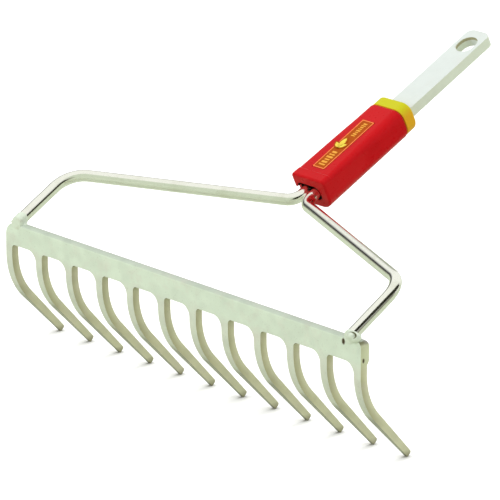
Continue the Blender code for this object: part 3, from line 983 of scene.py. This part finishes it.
def comb_stains_and_shade(tree, place, side, up, colour):
    """Painted shade on the top and tines, darker front edges, duller tines and rust in the pits."""
    # painted shade: faces that look up are darkened, taking light off the bar's top and its rounded
    # front edge
    shade = ramp(tree, up, ((0.2, (1, 1, 1)), (0.55, (0.80, 0.80, 0.80)), (1.0, (0.70, 0.70, 0.70))))
    colour = mix(tree, 1.0, colour, shade, "MULTIPLY")
    # painted shade on the rear half of the bar's top, where it rounds away from the light
    colour = mix(tree, rear_share(tree, place, up), colour, (*REAR_TONE, 1))
    cut = span(tree, side, 0.0, 0.8, 0.6, 0.9)
    # the tines' sides darker towards their front edge in the bend
    front_darkening = product(tree, front_edge_darkening(tree, place), cut)
    colour = mix(tree, front_darkening, colour, (*FRONT_EDGE_TONE, 1))
    colour = tine_tones(tree, place, up, colour)
    return rust_and_shade_spots(tree, place, colour, PITS, TO_COMB, RUST)


def slot_wall_shade(tree, place, _side, _up, colour):
    """Painted shade on the wall of the tang's slot."""
    return rust_and_shade_spots(tree, place, colour, slot_shade_spots(), AXIS, SLOT_WALL_SHADE_TONE)


def zinc(name, face, line, cut, spangle, roughness, depth, stains_and_shade):
    """Zinc on steel: crystals on the faces, and tones by facing for the rounded edges and the cut
    sides.
    """
    shader, tree, surface, place = new_material(name, roughness, 0.15)
    side, up = facing(tree, place)
    # on the comb the edge tone is a painted dark reflection, and the side tone partly painted shade
    sides = ramp(tree, side, ((0.0, face), (0.40, face), (0.56, line), (0.78, line), (0.93, cut)))
    sides = stains_and_shade(tree, place, side, up, sides)
    cells = add_node(
        tree,
        "ShaderNodeTexVoronoi",
        {"Vector": place.outputs["Object"], "Scale": spangle, "Randomness": 1.0},
        feature="SMOOTH_F1",
    )
    tone = add_node(tree, "ShaderNodeSeparateColor", {"Color": cells.outputs["Color"]}).outputs[0]
    low = 1 - 0.1 * depth
    crystals = mix(tree, span(tree, tone, 0.0, 1.0, 0.1, 0.9), WHITE, (low, low, low, 1))
    colour = mix(tree, 1.0, sides, crystals, "MULTIPLY")
    blush = span(tree, noise(tree, place, 95, 5, 0.65), 0.0, 0.4 * depth, 0.5, 0.75)
    colour = mix(tree, blush, colour, (*BLUSH, 1))
    specks = span(tree, noise(tree, place, 900, 2), 0.0, 0.25 * depth, 0.62, 0.75)
    colour = mix(tree, specks, colour, (*SPECK, 1))
    tree.links.new(colour, surface.inputs["Base Color"])
    grain = noise(tree, place, 420, 4, 0.6)
    rough = span(tree, grain, roughness - 0.07, roughness + 0.1)
    tree.links.new(rough, surface.inputs["Roughness"])
    bump(tree, surface, grain, 0.2 * depth, 0.00025)
    return shader


def plated(name, colour, stain_and_shade, roughness):
    """Bright plating over a drawn rod: fine drawing marks, faint stains, worn patches."""
    shader, tree, surface, place = new_material(name, roughness, 1.0)
    cloud = span(tree, noise(tree, place, 60, 5, 0.6), 0.0, 0.55, 0.5, 0.8)
    mark = span(tree, noise(tree, place, 700, 3, 0.6), 0.0, 0.35, 0.6, 0.75)
    tint = mix(tree, cloud, (*colour, 1), (*stain_and_shade, 1))
    tint = mix(tree, mark, tint, (*stain_and_shade, 1))
    tree.links.new(tint, surface.inputs["Base Color"])
    rough = span(tree, noise(tree, place, 240, 4), roughness - 0.04, roughness + 0.07)
    tree.links.new(rough, surface.inputs["Roughness"])
    bump(tree, surface, noise(tree, place, 900, 3), 0.06, 0.0001)
    return shader


def weld_metal(name):
    """Faintly rippled weld metal under zinc, heat-tinted in patches."""
    shader, tree, surface, place = new_material(name, 0.36, 0.25)
    waves = add_node(
        tree,
        "ShaderNodeTexWave",
        {"Vector": place.outputs["Object"], "Scale": 200, "Distortion": 3.0, "Detail": 2.0},
        bands_direction="X",
    )
    patch = span(tree, noise(tree, place, 260, 4, 0.6), 0.0, 0.6, 0.52, 0.75)
    tint = mix(tree, patch, (0.70, 0.78, 0.65, 1), (0.56, 0.57, 0.44, 1))
    # painted shade in the crater's groove
    tint = crater_shade(tree, place, tint)
    tree.links.new(tint, surface.inputs["Base Color"])
    rough = span(tree, noise(tree, place, 500, 3), 0.28, 0.44)
    tree.links.new(rough, surface.inputs["Roughness"])
    bump(tree, surface, waves.outputs["Fac"], 0.1, 0.0002)
    return shader


def plastic(name, colour, shade, roughness, gloss):
    """Moulded plastic: slightly uneven colour, orange-peel gloss and fine scuffs."""
    shader, tree, surface, place = new_material(name, roughness, 0.0, Specular_IOR_Level=gloss)
    cloud = span(tree, noise(tree, place, 45, 4, 0.55), 0.0, 0.8, 0.42, 0.72)
    tint = mix(tree, cloud, (*colour, 1), (*shade, 1))
    scuff = span(tree, noise(tree, place, 1100, 3, 0.7), 0.0, 0.12, 0.6, 0.8)
    tint = mix(tree, scuff, tint, (*[min(1.0, 1.3 * part) for part in colour], 1))
    tree.links.new(tint, surface.inputs["Base Color"])
    peel = noise(tree, place, 380, 4, 0.55)
    rough = span(tree, peel, roughness - 0.05, roughness + 0.08)
    tree.links.new(rough, surface.inputs["Roughness"])
    bump(tree, surface, peel, 0.1, 0.0002)
    return shader, tree, surface, place


def collar_plastic_painted_shade(name, top, side, roughness, gloss):
    """Yellow plastic with painted light and shade: greener where it faces up, browner down its sides.
    """
    shader, tree, surface, place = plastic(name, top, top, roughness, gloss)
    # painted light and shade: the tone follows which way the surface faces
    share = span(tree, coordinate(tree, place, "Z", "Normal"), 1.0, 0.0, 0.1, 0.8)
    base = surface.inputs["Base Color"].links[0].from_socket
    tree.links.new(mix(tree, share, base, (*side, 1)), surface.inputs["Base Color"])
    return shader


def printed(name, colour, shade):
    """Printed film with uneven ink."""
    shader, tree, surface, place = new_material(name, 0.38, 0.0, Specular_IOR_Level=0.06)
    ink = span(tree, noise(tree, place, 600, 4, 0.6), 0.0, 0.8, 0.4, 0.7)
    tree.links.new(mix(tree, ink, (*colour, 1), (*shade, 1)), surface.inputs["Base Color"])
    bump(tree, surface, noise(tree, place, 1500, 2), 0.1, 0.0001)
    return shader


# ---------------------------------------------------------------- stage


def make_camera():
    """A long lens in front of the head, to its right and above it."""
    data = bpy.data.cameras.new("camera")
    data.sensor_width = 36
    data.lens = CAMERA_LENS
    data.clip_end = 50
    camera = bpy.data.objects.new("camera", data)
    camera.location = CAMERA_PLACE
    camera.rotation_euler = [math.radians(turn) for turn in CAMERA_TURN]
    bpy.context.scene.collection.objects.link(camera)
    bpy.context.scene.camera = camera


def make_world():
    """A pale dome. In the gloss it is green in front and dark low down on both sides."""
    world = bpy.data.worlds.new("world")
    bpy.context.scene.world = world
    world.use_nodes = True
    tree = world.node_tree
    place = tree.nodes.new("ShaderNodeTexCoord")
    parts = add_node(tree, "ShaderNodeSeparateXYZ", {"Vector": place.outputs["Generated"]})
    height = span(tree, parts.outputs["Z"], 0.0, 1.0, 0.0, 1.0)
    dome = (*PALE, 1)
    for axis, start, full, stops in DOME:
        side = span(tree, parts.outputs[axis], 0.0, 1.0, start, full)
        dome = mix(tree, side, dome, ramp(tree, height, stops))
    rays = tree.nodes.new("ShaderNodeLightPath")
    lit = mix(tree, rays.outputs["Is Glossy Ray"], DAYLIGHT, dome)
    seen = mix(tree, rays.outputs["Is Camera Ray"], lit, WHITE)
    background = tree.nodes["Background"]
    tree.links.new(seen, background.inputs["Color"])
    background.inputs["Strength"].default_value = 1.0


def make_cards():
    """A dark card beside the head and a grey one beside the sleeve, seen only in the bright steel."""
    for number, (middle, height, length, tone) in enumerate(CARDS):
        turn = Matrix.Rotation(math.radians(90), 4, "Y")
        shape = Matrix.Translation(middle) @ turn @ Matrix.Diagonal((height, length, 1, 1))
        work = bmesh.new()
        bmesh.ops.create_grid(work, x_segments=1, y_segments=1, size=0.5, matrix=shape)
        card = mesh_object(f"card_{number}", work)
        shader, _, surface, _ = new_material(f"card_{number}", 1.0, 0.0, Specular_IOR_Level=0.0)
        surface.inputs["Base Color"].default_value = (*tone, 1)
        card.data.materials.append(shader)
        card.visible_camera = False
        card.visible_diffuse = False
        card.visible_shadow = False


def make_floor():
    """A white sheet that lights the head from below and darkens where something nearly touches it."""
    work = bmesh.new()
    bmesh.ops.create_grid(work, x_segments=1, y_segments=1, size=FLOOR_HALF)
    floor = mesh_object("floor", work)
    shader, tree, surface, _ = new_material("floor", 1.0, 0.0, Specular_IOR_Level=0.0)
    rays = tree.nodes.new("ShaderNodeLightPath")
    bounced = mix(tree, rays.outputs["Is Glossy Ray"], FLOOR_BOUNCE, FLOOR_GLOSS)
    contact = add_node(tree, "ShaderNodeAmbientOcclusion", {"Distance": CONTACT_REACH}, samples=16)
    clear = span(tree, contact.outputs["AO"], 0.0, 1.0, 0.45, 0.95)
    sheet = mix(tree, clear, CONTACT_TONE, FLOOR_SHEET)
    colour = mix(tree, rays.outputs["Is Camera Ray"], bounced, sheet)
    tree.links.new(colour, surface.inputs["Base Color"])
    glow = product(tree, product(tree, rays.outputs["Is Camera Ray"], clear), FLOOR_GLOW)
    surface.inputs["Emission Color"].default_value = WHITE
    tree.links.new(glow, surface.inputs["Emission Strength"])
    floor.data.materials.append(shader)


def add_light(name, place, size, power):
    """A square soft box that faces the middle of the head."""
    data = bpy.data.lights.new(name, "AREA")
    data.size = size
    data.energy = power
    light = bpy.data.objects.new(name, data)
    light.location = place
    aim = LIGHT_AIM - Vector(place)
    light.rotation_euler = aim.to_track_quat("-Z", "Y").to_euler()
    light.visible_glossy = False
    bpy.context.scene.collection.objects.link(light)


def make_stage():
    bpy.context.scene.view_settings.view_transform = "Standard"
    make_world()
    make_floor()
    make_cards()
    for light in LIGHTS:
        add_light(*light)


def make_head():
    galvanised = zinc(
        "galvanised_steel",
        face=(0.70, 0.80, 0.66),
        # painted reflection: a dark line along the rounded edges between the faces and the sides
        line=(0.24, 0.24, 0.12),
        # partly the sheared sides' own duller zinc, partly painted shade: darker and more olive than
        # the faces
        cut=(0.665, 0.71, 0.48),
        spangle=170,
        roughness=0.5,
        depth=1.0,
        stains_and_shade=comb_stains_and_shade,
    )
    tang_zinc = zinc(
        "tang_zinc",
        face=(0.68, 0.73, 0.70),
        line=(0.71, 0.76, 0.67),
        cut=(0.73, 0.79, 0.67),
        spangle=300,
        roughness=0.36,
        depth=0.3,
        stains_and_shade=slot_wall_shade,
    )
    bright = plated("bright_plating", (0.95, 0.95, 0.87), (0.68, 0.68, 0.52), 0.13)
    weld = weld_metal("weld_metal")
    red = plastic("red_plastic", (0.535, 0.0045, 0.008), (0.47, 0.004, 0.007), 0.3, 0.1)[0]
    # painted shade: near-black plastic for the sheet inside the mouth
    lining = plastic("mouth_shadow", (0.05, 0.004, 0.004), (0.03, 0.003, 0.003), 0.6, 0.1)[0]
    yellow = collar_plastic_painted_shade("yellow_plastic", (0.54, 0.52, 0.010), (0.72, 0.385, 0.014), 0.34, 0.12)
    field = printed("label_field", (0.41, 0.078, 0.001), (0.34, 0.058, 0.001))
    border = printed("label_border", (0.86, 0.22, 0.062), (0.80, 0.18, 0.05))
    ink = printed("label_ink", (0.78, 0.36, 0.055), (0.70, 0.28, 0.03))
    pale_ink = printed("label_pale_ink", (0.78, 0.66, 0.08), (0.72, 0.44, 0.05))

    make_comb(galvanised)
    for side, word in ((-1, "left"), (1, "right")):
        make_rod(side, word, bright)
        make_weld(side, word, weld)
    make_tang(tang_zinc)
    make_sleeve(red)
    make_mouth_shade(lining)
    make_collar(yellow)
    make_label(field, border, ink, pale_ink)
    frame["nodes"]["neck_weld"].material_slots[0].material = weld


make_camera()
make_stage()
make_head()
